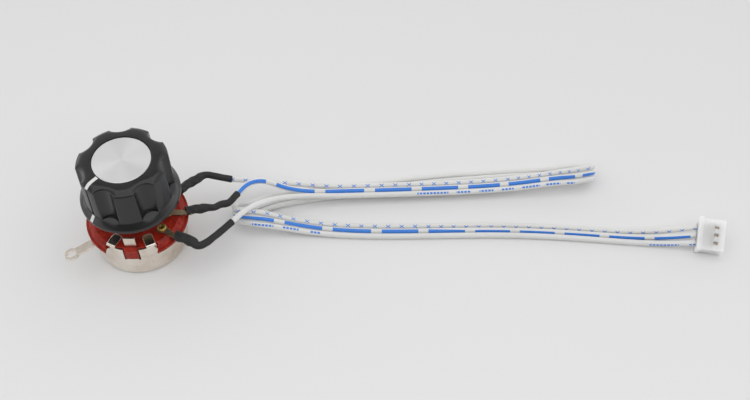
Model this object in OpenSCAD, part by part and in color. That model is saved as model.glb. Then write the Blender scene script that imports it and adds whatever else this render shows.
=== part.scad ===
// Rotary panel potentiometer with a fluted knob and a three-wire lead.
// Millimetres. The origin is the centre of the can's floor, and +Z runs up the shaft.

/* [Can] */
// Outer radius of the steel can
can_r = 14; // [13:0.1:17]
// Thickness of the can's sheet
can_wall = 0.5; // [0.35:0.05:0.65]
// Height of the can's wall, up to the seat of the base's rim
can_h = 9.8; // [9.4:0.1:13]
// Outer bend radius between the can's floor and its wall
can_bend = 1.1; // [0.8:0.1:2]
// Width of each claw that is folded over the base
claw_w = 2.9; // [2:0.1:3.6]
// Reach of a claw over the base, in from the can's outer face
claw_reach = 4.5; // [3:0.1:4.8]
// Radius of the rounded corners at a claw's tip
claw_corner = 0.9; // [0.3:0.1:0.9]
// Outer bend radius where a claw folds over the base
claw_bend = 0.7; // [0.66:0.02:0.8]
// Angle of each claw from the middle of its raised wall
claw_angle = 26; // [22:0.5:28]
// Half angle of each raised wall
raised_angle = 33; // [33:0.5:38]
// Half angle of the notch in the front raised wall
notch_angle = 10; // [9.5:0.5:12]
// Depth of the notch below the wall's seat
notch_depth = 2.5; // [1.3:0.1:2.6]
// Width of the locating tab
tab_w = 3.5; // [2.5:0.1:3.8]
// Distance from the can's outer face to the locating tab's outer face
tab_inset = 1.35; // [1.2:0.05:1.4]
// Height of the locating tab above the base
tab_h = 4; // [2:0.1:6]
// Azimuth of the earth lug
lug_angle = -143; // [-150:1:-135]
// Reach of the earth lug's eye centre past the can's outer face
lug_reach = 8.6; // [6:0.1:12]
// Radius of the earth lug's eye
lug_eye_r = 2.2; // [1.9:0.1:2.6]
// Width of the earth lug's neck
lug_neck_w = 2.9; // [2.2:0.1:3.2]
// Width of the oblong hole in the lug's eye
lug_hole_w = 1.7; // [0.8:0.1:2]
// Length of the oblong hole in the lug's eye
lug_hole_len = 2.8; // [2.2:0.1:3]

/* [Base] */
// Overhang of the base's rim past the can
rim_overhang = 1.5; // [1:0.1:2.5]
// Height of the rim's outer face
rim_face = 0.9; // [0.5:0.1:1.6]
// Radial width of the lip at the foot of the rim
rim_lip = 0.7; // [0.3:0.1:1]
// Rise of the base's flat top above the rim's seat
base_rise = 2.5; // [2.3:0.1:4]
// Distance from the can's outer face in to the edge of the flat top
flat_inset = 0.9; // [0.7:0.1:1.4]
// Drop of the bevel around the flat top
bevel_drop = 0.7; // [0.3:0.1:0.8]
// Radial width of the bevel around the flat top
bevel_w = 1.1; // [0.8:0.1:1.3]
// Depth of the base's plug inside the can
plug_h = 0.6; // [0.4:0.1:1]
// Clearance between the plug and the can
plug_clear = 0.1; // [0.05:0.01:0.15]
// Half angle of the key that stands in the can's notch
key_angle = 8.5; // [6:0.5:9]
// Half angle of the stop under the base
stop_angle = 19.5; // [15:0.5:19.5]

/* [Terminals] */
// Angle between neighbouring terminals
terminal_pitch = 35; // [33:0.5:38]
// Width of a terminal strip
terminal_w = 1.9; // [1.7:0.1:2.8]
// Radius of the eye of a terminal, around its rivet
terminal_eye_r = 1.6; // [1.5:0.05:1.8]
// Thickness of a terminal strip
terminal_t = 0.5; // [0.4:0.05:0.7]
// Depth of the groove that seats a terminal strip
terminal_groove = 0.2; // [0.1:0.05:0.4]
// Width of the soldered tail of a terminal
tail_w = 1.4; // [1:0.1:1.8]
// Reach of the soldered tail past the can's outer face
tail_reach = 3; // [2:0.1:3.4]
// Distance from the can's outer face in to the rear and front rivets
rivet_inset = 3.6; // [3.4:0.1:3.8]
// Distance from the can's outer face in to the middle rivet
middle_inset = 4.4; // [4:0.1:4.8]
// Radius of a rivet's shank
rivet_r = 0.8; // [0.6:0.05:0.9]
// Radius of a rivet's head
rivet_head_r = 1.3; // [1.2:0.05:1.45]
// Width of a rivet's flared lower end past its shank
rivet_flare = 0.2; // [0.1:0.05:0.25]
// Thickness of a rivet's head
rivet_head_t = 0.65; // [0.4:0.05:0.9]
// Radius of the hole through a rivet
rivet_bore_r = 0.4; // [0.3:0.05:0.45]

/* [Bushing] */
// Outer radius of the threaded bushing
bushing_r = 5; // [4.5:0.1:5.3]
// Height of the bushing above the base
bushing_len = 8.7; // [7:0.1:8.9]
// Radius of the bushing's flange under the base
flange_r = 6.4; // [6:0.1:6.8]
// Thickness of the bushing's flange
flange_t = 1.2; // [0.8:0.1:1.6]
// Size of the mounting nut across its flats
nut_flats = 14; // [13:0.5:14.5]
// Thickness of the mounting nut
nut_t = 2.5; // [2:0.1:3.5]
// Outer radius of the toothed lock washer
washer_r = 7.6; // [7:0.1:8]
// Thickness of the toothed lock washer
washer_t = 0.6; // [0.5:0.1:1]
// Number of teeth inside the lock washer
washer_teeth = 12; // [8:1:14]
// Clearance of the nut and the washer on the bushing
nut_clear = 0.05; // [0.02:0.01:0.1]

/* [Rotor] */
// Radius of the shaft
shaft_r = 3; // [2.8:0.1:3.2]
// Height of the shaft above the base
shaft_len = 21; // [18:0.5:22]
// Radial running clearance of the shaft in the bushing
shaft_clear = 0.04; // [0.02:0.01:0.08]
// Radius of the shaft's shoulder under the bushing
shoulder_r = 4; // [3.8:0.1:4.2]
// End play of the shaft between its shoulder and its ring
end_play = 0.2; // [0.1:0.05:0.3]
// Radius of the spigot that carries the rotor disc
spigot_r = 2.5; // [2:0.1:2.7]
// Radius of the peened end of the spigot
peen_r = 3.1; // [2.9:0.1:3.6]
// Thickness of the peened end of the spigot
peen_t = 0.7; // [0.5:0.1:1]
// Outer radius of the retaining ring
ring_r = 4.3; // [3.9:0.1:4.5]
// Thickness of the retaining ring
ring_t = 0.7; // [0.5:0.1:0.8]
// Depth of the retaining ring's groove in the shaft
groove_depth = 0.5; // [0.3:0.05:0.7]
// Distance from the base's underside down to the rotor disc
rotor_drop = 3; // [2.8:0.1:3.4]
// Thickness of the rotor disc
rotor_t = 2; // [1.5:0.1:2.5]
// Radius of the rotor disc
rotor_r = 10.3; // [9:0.1:10.8]
// Half angle of the rotor's stop
rotor_stop_angle = 10; // [6:0.5:10]
// Thickness of the resistive track and of the collector ring
track_t = 0.3; // [0.2:0.05:0.4]
// Radial width of the resistive track
track_w = 2.9; // [2.7:0.1:3]
// Half angle of the gap between the track's two ends
track_gap_angle = 26; // [24:0.5:27]
// Radial width of the collector ring
collector_w = 1.2; // [0.8:0.1:1.4]
// Distance from the resistive track in to the collector ring
collector_gap = 0.7; // [0.4:0.1:0.9]
// Thickness of the wiper's spring leaf
leaf_t = 0.3; // [0.2:0.05:0.4]
// Width of the wiper's arm
arm_w = 3.2; // [2.6:0.1:3.4]
// Width of the contact brush
brush_w = 2.2; // [1.6:0.1:2.4]
// Height of the contact brush
brush_h = 1.2; // [0.9:0.1:1.4]
// Gap between the brush and the track
brush_gap = 0.05; // [0.03:0.01:0.1]

/* [Knob] */
// Clearance from the base's top to the knob's skirt
knob_gap = 9.5; // [9.4:0.1:12]
// Height of the knob
knob_h = 15.9; // [14.5:0.1:19]
// Outer radius of the knob's skirt
skirt_r = 14.9; // [14.5:0.1:16]
// Height of the skirt's upright rim
skirt_rim = 1; // [0.6:0.1:1.4]
// Rise of the skirt's slope from its rim to the grip
skirt_rise = 1.8; // [1:0.1:2.4]
// Radius of the grip's lobes at the skirt
grip_low_r = 13.4; // [13.2:0.1:14]
// Radius of the grip's lobes at the top
grip_top_r = 13.3; // [12.8:0.1:13.4]
// Radial width of the chamfer around the grip's top
grip_chamfer_w = 1.4; // [0.6:0.1:1.6]
// Height of the chamfer around the grip's top
grip_chamfer_h = 1.5; // [0.6:0.1:2]
// Number of lobes around the grip
lobes = 7; // [5:1:9]
// Radius of each flute between two lobes, at the skirt
flute_r = 2.8; // [2.2:0.05:3.2]
// Growth of each flute's radius from the skirt to the top
flute_draft = 0.6; // [0.2:0.05:0.9]
// Distance from the axis to the upright floor of each flute
flute_floor_r = 11.3; // [11:0.1:11.8]
// Height of each flute's foot above the slope
flute_step = 0.25; // [0.2:0.05:0.6]
// Thickness of the knob's moulded wall
knob_wall = 1.6; // [1.2:0.1:1.9]
// Radius of the bright metal disc
disc_r = 8.6; // [7.5:0.1:9.2]
// Thickness of the bright metal disc
disc_t = 0.5; // [0.3:0.05:0.8]
// Depth of the disc's face below the knob's top
disc_sink = 0.25; // [0:0.05:0.5]
// Radius of the brass insert in the knob
insert_r = 4.6; // [4.4:0.1:5]
// Thickness of the boss around the insert
boss_wall = 1.9; // [1.4:0.1:2.2]
// Rise of the boss's lower end above the skirt
boss_rise = 0.6; // [0.5:0.1:1]
// Radius of the set screw
screw_r = 1.9; // [1.4:0.1:2]
// Length of the set screw
screw_len = 5.2; // [4:0.1:6]
// Height of the set screw's axis above the skirt's lower edge
screw_rise = 6.4; // [5:0.1:8]
// Azimuth of the pointer as the knob is set here
pointer_angle = -131; // [-180:1:-70]
// Width of the pointer line on top of the knob
pointer_w = 0.95; // [0.6:0.05:1.4]
// Width of the pointer mark on the skirt
mark_w = 1.4; // [0.8:0.05:2]
// Depth of the pointer's inlay
inlay_depth = 0.3; // [0.2:0.05:0.5]

/* [Cable] */
// Radius of one insulated conductor
wire_r = 0.875; // [0.7:0.005:0.875]
// Spacing of the bonded conductors
ribbon_pitch = 1.92; // [1.9:0.01:2.1]
// Radius of a shrunk sleeve over the terminal's tail
sleeve_big_r = 1.35; // [1.1:0.05:1.4]
// Radius of a shrunk sleeve over the wire
sleeve_small_r = 1.05; // [0.95:0.01:1.1]

/* [Connector] */
// Width of the connector's body
conn_w = 9.8; // [9.4:0.1:10.4]
// Thickness of the connector's body
conn_t = 5.2; // [4.8:0.1:5.4]
// Length of the connector
conn_len = 8; // [7.2:0.1:12]
// Overhang of the flange at the connector's wire end
conn_flange = 0.4; // [0.2:0.05:0.5]
// Length of that flange
conn_flange_len = 1.3; // [0.8:0.1:1.6]
// Length of the raised block at the mating end
conn_nose_len = 3.1; // [2.8:0.1:4]
// Depth of the step between that block and the flange
conn_recess = 0.5; // [0.2:0.1:0.8]
// Distance of the contacts below the middle of the body's thickness
conn_drop = 0.9; // [0.2:0.1:0.9]
// Spacing of the contacts
contact_pitch = 2.5; // [2.45:0.05:2.6]
// Width of each contact's cavity
cavity_w = 1.9; // [1.8:0.05:2]
// Height of each contact's cavity
cavity_h = 2.4; // [2.2:0.1:2.8]
// Thickness of the wall at the mating end
conn_front = 1; // [0.6:0.1:1.4]
// Width of the pin opening in that wall
pin_open = 1.1; // [0.8:0.05:1.3]
// Length of the window over each contact
window_len = 1.4; // [1.2:0.1:2]
// Clearance of a contact in its cavity
contact_clear = 0.12; // [0.05:0.01:0.2]
// Height of the guide ribs under the connector
rib_h = 0.5; // [0.3:0.05:0.6]
// Width of each guide rib
rib_w = 1; // [0.8:0.1:1.6]

/* [Hidden] */
$fn = 96;
// Clearance between pieces that are pressed or moulded together
fit = 0.02;
// Length by which a cut runs past a face
past = 1;

// Heights of the base and of what hangs under it
base_top = can_h + base_rise;
base_low = can_h - plug_h;
track_low = base_low - track_t;
rotor_top = base_low - rotor_drop;
rotor_low = rotor_top - rotor_t;
can_in = can_r - can_wall;
base_r = can_r + rim_overhang;
plug_r = can_in - plug_clear;
flat_r = can_r - flat_inset;
bevel_r = flat_r + bevel_w;

// Radii of the electrical parts
rivet_pcr = can_r - rivet_inset;
middle_pcr = max(can_r - middle_inset, washer_r + rivet_head_r + 0.15);
flare_r = rivet_r + rivet_flare;
track_out = can_in - 1.5;
track_in = track_out - track_w;
collector_out = track_in - collector_gap;
collector_in = collector_out - collector_w;
stop_in = can_in - 1.4;
rotor_stop_out = can_in - 0.5;
tab_out = can_r - tab_inset;
tab_in = tab_out - can_wall;
brush_out = track_out - 0.3;
brush_in = collector_in + 0.1;
brush_top = track_low - brush_gap;
arm_top = brush_top - brush_h;

// Terminals, as rear, middle and front
terminal_at = [terminal_pitch, 0, -terminal_pitch];
rivet_pcrs = [rivet_pcr, middle_pcr, rivet_pcr];
strip_low = base_top - terminal_groove;
strip_top = strip_low + terminal_t;
tail_out = can_r + tail_reach;

// Heights along the shaft and the knob
bushing_top = base_top + bushing_len;
ring_low = bushing_top + end_play;
shaft_top = base_top + shaft_len;
knob_low = base_top + knob_gap;
knob_top = knob_low + knob_h;
skirt_top = knob_low + skirt_rim;
grip_low = skirt_top + skirt_rise;
boss_r = insert_r + boss_wall;
boss_low = knob_low + boss_rise;
cavity_r = flute_floor_r - knob_wall;
disc_top = knob_top - disc_sink;
disc_low = disc_top - disc_t;
cavity_top = disc_low - knob_wall;
screw_z = knob_low + screw_rise;
// Upper end of the pointer's mark on the skirt: a small share of the slope above it stays bare
mark_from = 0.07;
mark_r = grip_low_r + mark_from * (skirt_r - grip_low_r);
mark_z = grip_low - mark_from * skirt_rise;

// Route of the bonded ribbon's middle conductor: x, y, z, tilt, share of fan-out, yaw of its width
ribbon = [
    [63, 15.7, 3.2, 0, 0, 0],
    [94, 17.2, 2.8, 0, 0, 0],
    [122, 18.9, 4, 4, 0, 0],
    [133, 19.6, 5.5, 16, 0, 0],
    [139, 19.9, 6.4, 36, 0, 0],
    [141.8, 20.7, 6.3, 38, 0, 0],
    [142.9, 22.1, 4.8, 38, 0, 0],
    [141.8, 23.6, 3.1, 38, 0, 0],
    [139, 24.3, 2.2, 38, 0, 0],
    [131, 24.5, 0.9, 0, 0, 0],
    [104, 22.6, 0.9, 0, 0, 0],
    [70, 18.3, 0.9, 0, 0, 0],
    [46, 14.6, 0.9, 0, 0, 0],
    [38, 11.8, 1.7, 22, 0, 0],
    [32.2, 9, 2.5, 55, 0, 0],
    [29.6, 8.1, 3.1, 55, 0, 0],
    [28.6, 6, 4.5, 55, 0, 0],
    [29.6, 4, 6, 55, 0, 0],
    [32.2, 3.1, 6.6, 55, 0, 0],
    [39, 3, 4.9, 22, 0, 0],
    [52, 2.5, 1.6, 0, 0, 0],
    [66, 1.6, 0.9, 0, 0, 0],
    [112, 1.8, 0.9, 0, 0, 0],
    [138, 0.4, 0.9, 0, 0, 0],
    [152, -0.9, 1.2, 8, 0, 0],
    [162, -1.6, 2, 14, 0.4, -4],
    [172.2, -2.1, 3.8, 24, 1, -11]
];
// Routes of the three split ends, from the sleeves to the ribbon
rear_lead = [[27.4, 15.7, 9.2], [35, 17, 6.8], [46, 17.4, 5]];
middle_lead = [[29.8, 9.3, 10], [33, 13.5, 9.8], [37.7, 15.2, 8.8], [42.8, 14.8, 6.8]];
front_lead = [[29.1, -2, 10.5], [32.8, 2.6, 10.2], [38, 7, 8.8], [46, 11, 6.2]];
// Routes of the three sleeves, from the terminals to the wires
rear_sleeve = [
    [12.8, 9.1, 12.6], [15.3, 12, 12.1], [18.2, 15.2, 11.3], [20.4, 16.2, 10.7], [27.4, 15.7, 9.2]
];
middle_sleeve = [
    [15, 0.4, 12.7], [19, 1.5, 12.2], [22.8, 2.8, 11.4], [27.2, 5.1, 10.6], [29.8, 9.3, 10]
];
front_sleeve = [
    [12.8, -8.8, 12.7], [16.5, -10.2, 12.2], [19.4, -11.5, 11.6], [21.4, -10.6, 11.3], [29.1, -2, 10.5]
];
sides = 8;

// Where the connector lies: its wire end is the ribbon's last point
conn_roll = 24;
conn_yaw = -11;
conn_at = [172.2, -2.1, 3.8];

// Ring between two radii and two heights, from one angle to another
module sector(r0, r1, z0, z1, a0, a1) {
    rotate([0, 0, a0])
        rotate_extrude(angle = a1 - a0)
            translate([r0, z0])
                square([r1 - r0, z1 - z0]);
}

// Full ring between two radii and two heights
module tube(r0, r1, z0, z1) {
    rotate_extrude()
        translate([r0, z0])
            square([r1 - r0, z1 - z0]);
}

// Upright solid cylinder between two heights
module rod(r, z0, z1) {
    translate([0, 0, z0])
        cylinder(r = r, h = z1 - z0);
}

// Radial block at an angle, between two radii and two heights
module spoke(r0, r1, w, z0, z1, a) {
    rotate([0, 0, a])
        translate([r0, -w / 2, z0])
            cube([r1 - r0, w, z1 - z0]);
}

// Outline in the radius and height plane, carried across a width at an angle
module radial_plate(points, w, a) {
    rotate([0, 0, a])
        rotate([90, 0, 0])
            translate([0, 0, -w / 2])
                linear_extrude(height = w)
                    polygon(points);
}

// Half section of a cup with one rounded outer corner
module cup_section(r, z0, z1, bend) {
    translate([0, z0])
        square([r - bend, z1 - z0]);
    translate([0, z0 + bend])
        square([r, z1 - z0 - bend]);
    translate([r - bend, z0 + bend])
        circle(r = bend);
}

// Half section of a hook: the top of the can's wall bent over and in
module hook_section() {
    bend_r = can_r - claw_bend;
    bend_z = base_top + can_wall - claw_bend;
    translate([can_in, bend_z - can_wall])
        square([can_wall, can_wall]);
    translate([0, base_top])
        square([bend_r, can_wall]);
    intersection() {
        translate([bend_r, bend_z])
            difference() {
                circle(r = claw_bend);
                circle(r = claw_bend - can_wall);
            }
        translate([bend_r, bend_z])
            square([claw_bend, claw_bend]);
    }
}

// One claw: a strip of the can's wall folded flat over the base, with rounded corners at its tip
module claw(a) {
    tip_r = can_r - claw_reach;
    intersection() {
        rotate([0, 0, a])
            translate([0, 0, can_h])
                linear_extrude(height = base_rise + can_wall + past) {
                    translate([tip_r + claw_corner, -claw_w / 2])
                        square([claw_reach - claw_corner + past, claw_w]);
                    translate([tip_r, claw_corner - claw_w / 2])
                        square([claw_reach, claw_w - 2 * claw_corner]);
                    for (side = [-1, 1])
                        translate([tip_r + claw_corner, side * (claw_w / 2 - claw_corner)])
                            circle(r = claw_corner);
                }
        rotate_extrude() hook_section();
    }
}

// Oblong outline along X with round ends
module oblong(len, w) {
    square([len - w, w], center = true);
    for (side = [-1, 1])
        translate([side * (len - w) / 2, 0])
            circle(r = w / 2);
}

// Earth lug: a flat tag drawn out of the can's upper edge
module earth_lug() {
    eye_at = can_r + lug_reach;
    rotate([0, 0, lug_angle])
        translate([0, 0, can_h - can_wall])
            linear_extrude(height = can_wall)
                difference() {
                    union() {
                        translate([can_in + can_wall / 2, -lug_neck_w / 2])
                            square([eye_at - can_in, lug_neck_w]);
                        translate([eye_at, 0])
                            circle(r = lug_eye_r);
                    }
                    translate([eye_at, 0])
                        oblong(lug_hole_len, lug_hole_w);
                }
}

// Locating tab: jogged in from the notch and turned up through the base
module locating_tab() {
    jog_low = can_h - notch_depth - 0.1;
    intersection() {
        translate([-tab_w / 2, -can_r - past, jog_low])
            cube([tab_w, can_r + past - tab_in, can_wall]);
        rod(can_r, jog_low, can_h);
    }
    translate([-tab_w / 2, -tab_out, jog_low])
        cube([tab_w, can_wall, base_top + tab_h - jog_low]);
}

module can() color([0.74, 0.72, 0.69]) {
    wall_top = base_top + can_wall - claw_bend - 0.1;
    difference() {
        rotate_extrude()
            difference() {
                cup_section(can_r, 0, wall_top, can_bend);
                cup_section(can_in, can_wall, wall_top + past, can_bend - can_wall);
            }
        for (middle = [0, 180])
            sector(can_in - past, can_r + past, can_h, wall_top + past,
                middle - 90 + raised_angle, middle + 90 - raised_angle);
        sector(can_in - past, can_r + past, can_h - notch_depth, wall_top + past,
            -90 - notch_angle, -90 + notch_angle);
    }
    for (middle = [-90, 90], side = [-1, 1])
        claw(middle + side * claw_angle);
    locating_tab();
    earth_lug();
}

// Half section of the base: plug, rim with its lip, steep wall, bevel and flat top
module base_section() {
    polygon([
        [bushing_r + fit, base_low],
        [plug_r, base_low],
        [plug_r, can_h],
        [base_r, can_h],
        [base_r, can_h + rim_face],
        [base_r - rim_lip, can_h + rim_face],
        [bevel_r, base_top - bevel_drop],
        [flat_r, base_top],
        [bushing_r + fit, base_top]
    ]);
}

// Key of the base in the can's notch, with a bevelled top edge
module base_key() {
    key_in = plug_r - 0.3;
    key_low = can_h - notch_depth + can_wall;
    rotate([0, 0, -90 - key_angle])
        rotate_extrude(angle = 2 * key_angle)
            polygon([
                [key_in, key_low],
                [can_r, key_low],
                [can_r, base_top - bevel_drop],
                [key_in + 0.2, base_top],
                [key_in, base_top]
            ]);
}

module base() color([0.49, 0.1, 0.08]) {
    rim_cut = can_r * sin(raised_angle) + 0.15;
    difference() {
        union() {
            difference() {
                rotate_extrude() base_section();
                intersection() {
                    tube(plug_r - 0.05, base_r + past, base_low - past, base_top + past);
                    translate([-rim_cut, -base_r - past, base_low - past])
                        cube([2 * rim_cut, 2 * (base_r + past), base_top - base_low + 2 * past]);
                }
            }
            base_key();
            sector(stop_in, plug_r - 0.1, rotor_low + 0.2, base_low + 0.1, -stop_angle, stop_angle);
        }
        translate([-tab_w / 2 - 0.1, -tab_out - 0.1, base_low - past])
            cube([tab_w + 0.2, can_wall + 0.2, base_top - base_low + 2 * past]);
        rod(flange_r + fit, base_low - past, base_low + flange_t + fit);
        for (i = [0 : 2]) {
            spoke(rivet_pcrs[i], base_r + past, terminal_w + 0.2, strip_low, base_top + past, terminal_at[i]);
            rotate([0, 0, terminal_at[i]])
                translate([rivet_pcrs[i], 0, 0]) {
                    rod(rivet_r + fit, base_low - past, base_top + past);
                    rod(terminal_eye_r + 0.1, strip_low, base_top + past);
                }
        }
    }
}

module bushing() color([0.72, 0.66, 0.5]) {
    chamfer = 0.5;
    rotate_extrude()
        polygon([
            [shaft_r + shaft_clear, base_low],
            [flange_r, base_low],
            [flange_r, base_low + flange_t],
            [bushing_r, base_low + flange_t],
            [bushing_r, bushing_top - chamfer],
            [bushing_r - chamfer, bushing_top],
            [shaft_r + shaft_clear, bushing_top]
        ]);
}

module lock_washer() color([0.7, 0.7, 0.68]) {
    tooth_w = 1.2;
    tooth_root = bushing_r + nut_clear + 1;
    tube(tooth_root, washer_r, base_top, base_top + washer_t);
    for (i = [0 : washer_teeth - 1])
        spoke(bushing_r + nut_clear + 0.1, tooth_root + 0.3, tooth_w,
            base_top, base_top + washer_t, i * 360 / washer_teeth);
}

module mounting_nut() color([0.75, 0.74, 0.7]) {
    nut_low = base_top + washer_t;
    corner_r = nut_flats / 2 / cos(30);
    difference() {
        intersection() {
            translate([0, 0, nut_low])
                rotate([0, 0, 15])
                    cylinder(r = corner_r, h = nut_t, $fn = 6);
            rotate_extrude()
                polygon([
                    [0, nut_low],
                    [corner_r + 0.1, nut_low],
                    [corner_r + 0.1, nut_low + nut_t - 0.6],
                    [nut_flats / 2 - 0.1, nut_low + nut_t],
                    [0, nut_low + nut_t]
                ]);
        }
        rod(bushing_r + nut_clear, nut_low - past, nut_low + nut_t + past);
    }
}

// Holes through a flat electrical part for the flared ends of some of the rivets
module rivet_holes(which) {
    for (i = which)
        rotate([0, 0, terminal_at[i]])
            translate([rivet_pcrs[i], 0, track_low - past])
                cylinder(r = flare_r + fit, h = track_t + 2 * past);
}

module resistive_track() color([0.12, 0.12, 0.13]) {
    difference() {
        sector(track_in, track_out, track_low, base_low, track_gap_angle, 360 - track_gap_angle);
        rivet_holes([0, 2]);
    }
}

module collector_ring() color([0.8, 0.66, 0.38]) {
    difference() {
        union() {
            tube(collector_in, collector_out, track_low, base_low);
            spoke(collector_out - 0.3, middle_pcr, 2 * flare_r + 0.8, track_low, base_low, 0);
            translate([middle_pcr, 0, track_low])
                cylinder(r = flare_r + 0.4, h = track_t);
        }
        rivet_holes([1]);
    }
}

// One terminal: an eye under the rivet, a strip over the rim and a narrow tail to solder
module terminal(i) {
    eye_at = rivet_pcrs[i];
    rotate([0, 0, terminal_at[i]])
        translate([0, 0, strip_low])
            linear_extrude(height = terminal_t)
                difference() {
                    union() {
                        translate([eye_at, 0])
                            circle(r = terminal_eye_r);
                        translate([eye_at, -terminal_w / 2])
                            square([can_r - eye_at, terminal_w]);
                        translate([can_r - terminal_w / 4, -tail_w / 2])
                            square([tail_out - can_r + terminal_w / 4, tail_w]);
                    }
                    translate([eye_at, 0])
                        circle(r = rivet_r + fit);
                }
}

module terminal_rear() color([0.72, 0.64, 0.48]) terminal(0);

module terminal_middle() color([0.72, 0.64, 0.48]) terminal(1);

module terminal_front() color([0.72, 0.64, 0.48]) terminal(2);

// Three hollow rivets: rolled head above, flared end flush with the track below
module terminal_rivets() color([0.78, 0.6, 0.25]) {
    for (i = [0 : 2])
        rotate([0, 0, terminal_at[i]])
            translate([rivet_pcrs[i], 0, 0])
                rotate_extrude()
                    polygon([
                        [rivet_bore_r, track_low],
                        [flare_r, track_low],
                        [flare_r, base_low],
                        [rivet_r, base_low],
                        [rivet_r, strip_top],
                        [rivet_head_r, strip_top],
                        [rivet_head_r, strip_top + rivet_head_t * 0.5],
                        [rivet_head_r - 0.35, strip_top + rivet_head_t],
                        [rivet_bore_r + 0.2, strip_top + rivet_head_t],
                        [rivet_bore_r, strip_top + rivet_head_t * 0.5]
                    ]);
}

module shaft() color([0.7, 0.68, 0.64]) {
    chamfer = 0.5;
    ring_seat_low = ring_low - fit;
    ring_seat_top = ring_low + ring_t + fit;
    rotate_extrude()
        polygon([
            [0, rotor_low - peen_t],
            [peen_r - 0.3, rotor_low - peen_t],
            [peen_r, rotor_low],
            [spigot_r, rotor_low],
            [spigot_r, rotor_top],
            [shoulder_r, rotor_top],
            [shoulder_r, base_low - end_play],
            [shaft_r, base_low - end_play],
            [shaft_r, ring_seat_low],
            [shaft_r - groove_depth, ring_seat_low],
            [shaft_r - groove_depth, ring_seat_top],
            [shaft_r, ring_seat_top],
            [shaft_r, shaft_top - chamfer],
            [shaft_r - chamfer, shaft_top],
            [0, shaft_top]
        ]);
}

module retaining_ring() color([0.35, 0.35, 0.36]) {
    mouth = 50;
    sector(shaft_r - groove_depth + fit, ring_r, ring_low, ring_low + ring_t,
        pointer_angle + mouth / 2, pointer_angle + 360 - mouth / 2);
}

module rotor_disc() color([0.42, 0.27, 0.16]) {
    difference() {
        union() {
            rod(rotor_r, rotor_low, rotor_top);
            sector(rotor_r - 0.5, rotor_stop_out, rotor_low, rotor_top,
                pointer_angle - rotor_stop_angle, pointer_angle + rotor_stop_angle);
        }
        rod(spigot_r + fit, rotor_low - past, rotor_top + past);
    }
}

// Spring leaf: a washer around the shoulder with one arm bent up to carry the brush
module wiper_spring() color([0.76, 0.56, 0.34]) {
    washer_in = shoulder_r + 0.1;
    washer_out = shoulder_r + 2;
    bend_in = washer_out + 0.3;
    bend_out = brush_in - 0.3;
    tube(washer_in, washer_out, rotor_top, rotor_top + leaf_t);
    radial_plate([
        [washer_out - 0.6, rotor_top],
        [bend_in + leaf_t / 2, rotor_top],
        [bend_out + leaf_t / 2, arm_top - leaf_t],
        [brush_out + 0.1, arm_top - leaf_t],
        [brush_out + 0.1, arm_top],
        [bend_out - leaf_t / 2, arm_top],
        [bend_in - leaf_t / 2, rotor_top + leaf_t],
        [washer_out - 0.6, rotor_top + leaf_t]
    ], arm_w, pointer_angle);
}

module wiper_brush() color([0.16, 0.16, 0.17]) {
    spoke(brush_in, brush_out, brush_w, arm_top, brush_top, pointer_angle);
}

// Outer form of the knob: skirt, slope and drafted grip in one turn, with a flute between each two lobes.
// A flute is a cone that leans out by its own draft, so its floor stays upright and its foot falls outwards.
module knob_form() {
    flute_low = grip_low + flute_step;
    flute_h = knob_top - flute_low + past;
    flute_lean = atan(flute_draft / flute_h);
    difference() {
        rotate_extrude()
            polygon([
                [0, knob_low],
                [skirt_r, knob_low],
                [skirt_r, skirt_top],
                [grip_low_r, grip_low],
                [grip_top_r, knob_top - grip_chamfer_h],
                [grip_top_r - grip_chamfer_w, knob_top],
                [0, knob_top]
            ]);
        for (i = [0 : lobes - 1])
            rotate([0, 0, pointer_angle + (i + 0.5) * 360 / lobes])
                translate([flute_floor_r, 0, flute_low])
                    rotate([0, flute_lean, 0])
                        translate([flute_r, 0, 0])
                            cylinder(r1 = flute_r, r2 = flute_r + flute_draft, h = flute_h);
    }
}

// Grooves for the white inlay: one on the grip's top and chamfer, one on the skirt's slope
module pointer_cut() {
    radial_plate([
        [disc_r, knob_top - inlay_depth - fit],
        [grip_top_r - grip_chamfer_w - inlay_depth / 2, knob_top - inlay_depth - fit],
        [grip_top_r - inlay_depth - fit, knob_top - grip_chamfer_h],
        [grip_top_r + past, knob_top - grip_chamfer_h],
        [grip_top_r + past, knob_top + past],
        [disc_r, knob_top + past]
    ], pointer_w + 2 * fit, pointer_angle);
    radial_plate([
        [mark_r - fit, mark_z - inlay_depth - fit],
        [skirt_r - inlay_depth - fit, skirt_top - inlay_depth - fit],
        [skirt_r + past, skirt_top - inlay_depth - fit],
        [skirt_r + past, grip_low],
        [mark_r - fit, grip_low]
    ], mark_w + 2 * fit, pointer_angle);
}

module knob_shell() color([0.1, 0.1, 0.1]) {
    difference() {
        knob_form();
        tube(boss_r, skirt_r - knob_wall, knob_low - past, skirt_top - 0.2);
        tube(boss_r, cavity_r, knob_low - past, cavity_top);
        rod(boss_r + past, knob_low - past, boss_low);
        rod(insert_r + fit, boss_low - past, shaft_top + fit);
        rod(disc_r + fit, disc_low, knob_top + past);
        rotate([0, 0, pointer_angle + 180])
            translate([0, 0, screw_z])
                rotate([0, 90, 0])
                    cylinder(r = screw_r + 0.15, h = skirt_r + past);
        pointer_cut();
    }
}

module knob_insert() color([0.75, 0.6, 0.3]) {
    difference() {
        tube(shaft_r + fit, insert_r, boss_low, shaft_top);
        rotate([0, 0, pointer_angle + 180])
            translate([0, 0, screw_z])
                rotate([0, 90, 0])
                    cylinder(r = screw_r + fit, h = insert_r + past);
    }
}

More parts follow.
